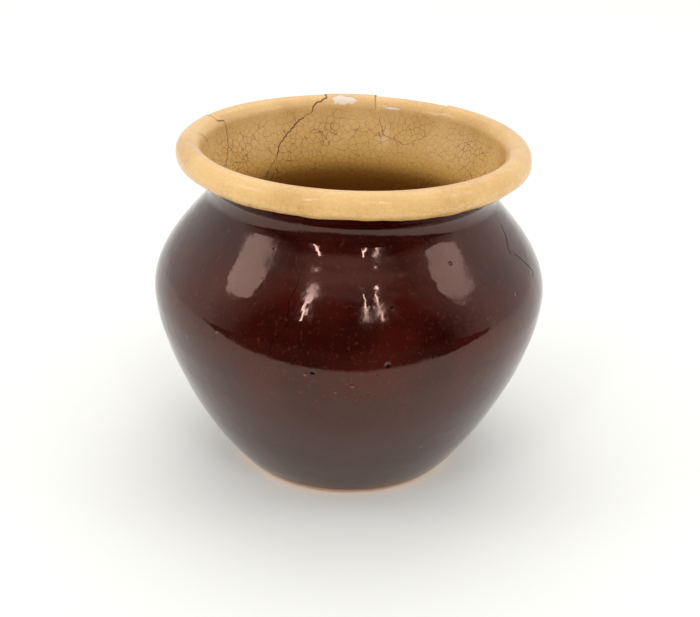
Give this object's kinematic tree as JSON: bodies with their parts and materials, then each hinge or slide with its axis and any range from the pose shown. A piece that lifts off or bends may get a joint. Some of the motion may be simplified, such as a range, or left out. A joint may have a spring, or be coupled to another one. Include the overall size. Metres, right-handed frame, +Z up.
{
  "type": "bean pot",
  "caption": "Handleless glazed bean pot with a round belly, drawn-in neck and rolled rim, mended from sherds.",
  "frame": {"origin": "middle of the foot's underside", "axes": "+Z up along the pot's axis, +X to the right and +Y away from the viewer in the reference view"},
  "size_m": [0.165, 0.165, 0.1408],
  "materials": {
    "clay": "bare pale fired clay, matt",
    "brown_glaze": "dark treacle-brown gloss glaze",
    "cream_glaze": "cream-yellow gloss glaze with fine crazing",
    "glue": "dried brown adhesive"
  },
  "bodies": {
    "root": {"clay_left_wall_sherd": "clay", "clay_left_rim_sherd": "clay", "clay_back_rim_sherd": "clay", "clay_main_body": "clay", "brown_glaze_left_wall_sherd": "brown_glaze", "brown_glaze_left_rim_sherd": "brown_glaze", "brown_glaze_back_rim_sherd": "brown_glaze", "brown_glaze_main_body": "brown_glaze", "cream_glaze_left_wall_sherd": "cream_glaze", "cream_glaze_left_rim_sherd": "cream_glaze", "cream_glaze_back_rim_sherd": "cream_glaze", "cream_glaze_main_body": "cream_glaze", "glue_seam_left": "glue", "glue_seam_back": "glue"}
  },
  "joints": []
}
